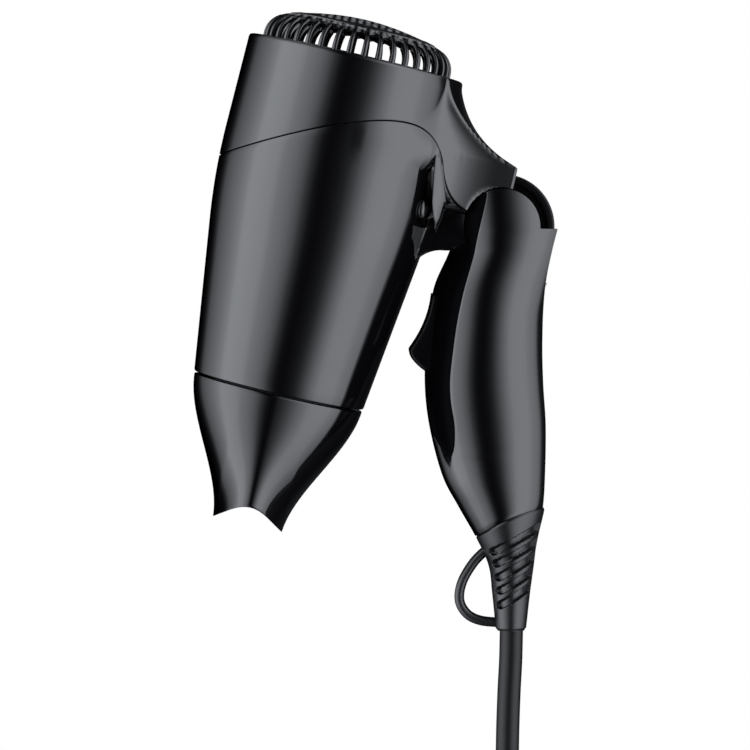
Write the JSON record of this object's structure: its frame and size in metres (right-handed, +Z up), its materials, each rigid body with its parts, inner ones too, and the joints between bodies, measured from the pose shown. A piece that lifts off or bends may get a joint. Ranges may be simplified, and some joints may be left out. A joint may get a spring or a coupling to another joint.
{
  "type": "hair dryer",
  "caption": "Folding travel hair dryer: tapered gloss barrel with domed intake grille and narrowing nozzle, hinged to a curved grip with thumb slide, hanging loop and mains cord in a hank.",
  "frame": {"origin": "middle of the grip, where the hand closes round it", "axes": "+Z up with the dryer folded and held by its grip, +X from the barrel to the grip, Y along the hinge axis"},
  "size_m": [0.1099, 0.0757, 0.4474],
  "materials": {
    "housing_abs": "moulded, high gloss",
    "grip_abs": "moulded, high gloss",
    "cover_abs": "moulded, gloss",
    "grille_abs": "moulded, satin",
    "nozzle_abs": "moulded, high gloss",
    "hinge_pom": "moulded, satin",
    "inner_pbt": "moulded, matt",
    "switch_nylon": "moulded, matt",
    "steel": "zinc-plated",
    "mica": "pressed mica sheet",
    "nichrome": "oxidised wire",
    "fuse_case": "satin",
    "circuit_board": "solder mask",
    "lead_pvc": "soft PVC",
    "relief_pvc": "soft PVC, satin",
    "cord_pvc": "soft PVC, satin",
    "plug_pvc": "moulded PVC",
    "pin_brass": "nickel-plated"
  },
  "bodies": {
    "grip": {"hinge_pin": "steel", "detent_spring": "steel", "detent_ball": "steel", "grip_left_shell": "grip_abs", "grip_right_shell": "grip_abs", "grip_front_cover": "cover_abs", "grip_screws": "steel", "switch_body": "switch_nylon", "grip_leads": "lead_pvc", "cord_clamp": "inner_pbt", "strain_relief": "relief_pvc", "cord_run": "cord_pvc", "cord_hank": "cord_pvc", "cord_tie": "cord_pvc", "cord_tail": "cord_pvc", "plug_body": "plug_pvc", "plug_pins": "pin_brass"},
    "barrel": {"rear_housing": "housing_abs", "front_shell": "housing_abs", "intake_grille": "grille_abs", "fan_duct": "inner_pbt", "motor": "steel", "rectifier_board": "circuit_board", "heater_boards": "mica", "heater_coil": "nichrome", "heat_shield": "mica", "thermostat": "steel", "thermal_fuse": "fuse_case", "outlet_collar": "inner_pbt", "outlet_guard": "inner_pbt", "barrel_leads": "lead_pvc", "hinge_drum": "hinge_pom", "housing_screws": "steel", "screw_caps": "housing_abs"},
    "fan": {"motor_shaft": "steel", "fan_impeller": "inner_pbt"},
    "nozzle_ring": {"nozzle_clip_ring": "steel"},
    "nozzle": {"concentrator_nozzle": "nozzle_abs"},
    "switch_slide": {"switch_knob": "cover_abs"}
  },
  "joints": [
    {"name": "barrel_fold", "type": "hinge", "parent": "grip", "child": "barrel", "pos_m": [0.005, 0, 0.048], "axis": [0, 1, 0], "range_deg": [0, 77]},
    {"name": "fan_spin", "type": "hinge", "parent": "barrel", "child": "fan", "pos_m": [-0.03984, 0, 0.08759], "axis": [0.2284, 0, 0.9736], "continuous": true},
    {"name": "nozzle_pull", "type": "slide", "parent": "barrel", "child": "nozzle_ring", "axis": [-0.2284, 0, -0.9736], "range_m": [0, 0.012]},
    {"name": "nozzle_turn", "type": "hinge", "parent": "nozzle_ring", "child": "nozzle", "pos_m": [-0.06154, 0, -0.0049], "axis": [0.2284, 0, 0.9736], "continuous": true},
    {"name": "switch_travel", "type": "slide", "parent": "grip", "child": "switch_slide", "axis": [0.0941, 0, 0.9956], "range_m": [0, 0.006]}
  ]
}
